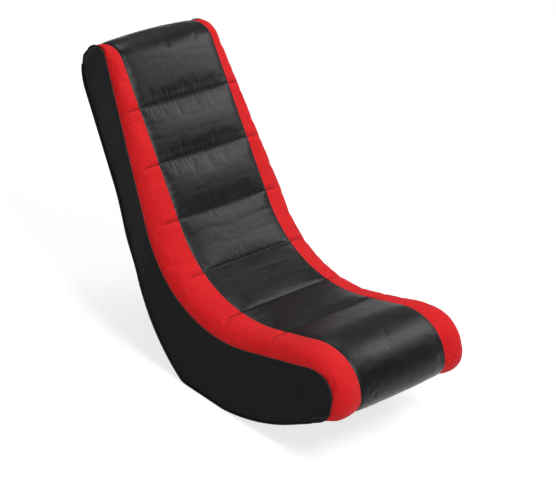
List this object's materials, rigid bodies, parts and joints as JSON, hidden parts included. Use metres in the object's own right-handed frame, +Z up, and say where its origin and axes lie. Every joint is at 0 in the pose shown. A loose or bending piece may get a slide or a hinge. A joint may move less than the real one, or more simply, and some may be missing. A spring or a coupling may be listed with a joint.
{
  "type": "gaming rocker chair",
  "caption": "Floor rocker chair without legs: a curled body with a quilted black centre, red mesh sides and a curved rocker base on which it stands and rocks.",
  "frame": {"origin": "middle of the flat spot of the rocker, on the floor", "axes": "X across the chair, +Y towards the back and the head end, so the sitter faces -Y; +Z up"},
  "size_m": [0.4034, 0.833, 0.5588],
  "materials": {
    "quilted_faux_leather": "satin",
    "rear_faux_leather": "matte",
    "side_faux_leather": "matte",
    "spacer_mesh": "matte",
    "foam": "matte",
    "wadding": "matte",
    "fibre_board": "matte",
    "screw_steel": "satin",
    "plywood": "matte",
    "pine": "matte"
  },
  "bodies": {
    "root": {"back_cover": "rear_faux_leather", "back_deck": "fibre_board", "back_foam": "foam", "back_side_foam_left": "foam", "back_side_foam_right": "foam", "base_cover": "rear_faux_leather", "base_foam_front": "foam", "base_foam_middle": "foam", "base_foam_rear": "foam", "bolster_foam_left": "foam", "bolster_foam_right": "foam", "centre_panel_1": "quilted_faux_leather", "centre_panel_2": "quilted_faux_leather", "centre_panel_3": "quilted_faux_leather", "centre_panel_4": "quilted_faux_leather", "centre_panel_5": "quilted_faux_leather", "centre_panel_6": "quilted_faux_leather", "centre_panel_7": "quilted_faux_leather", "corner_blocks": "pine", "frame_screws": "screw_steel", "front_beam": "pine", "front_tack_strip": "fibre_board", "head_foam": "foam", "head_rail": "pine", "joint_block_left": "pine", "joint_block_right": "pine", "lumbar_rail": "pine", "mesh_strip_left": "spacer_mesh", "mesh_strip_right": "spacer_mesh", "middle_back_rail": "pine", "middle_rail": "pine", "nose_foam": "foam", "panel_wadding": "wadding", "rear_rail": "pine", "rocker_side_left": "plywood", "rocker_side_right": "plywood", "seat_deck": "plywood", "seat_foam": "foam", "side_cover_lower_left": "side_faux_leather", "side_cover_lower_right": "side_faux_leather", "side_cover_upper_left": "side_faux_leather", "side_cover_upper_right": "side_faux_leather", "side_wadding_left": "wadding", "side_wadding_right": "wadding", "top_tack_strip": "fibre_board", "underside_sheet": "plywood", "upright_left": "pine", "upright_right": "pine"}
  },
  "joints": []
}
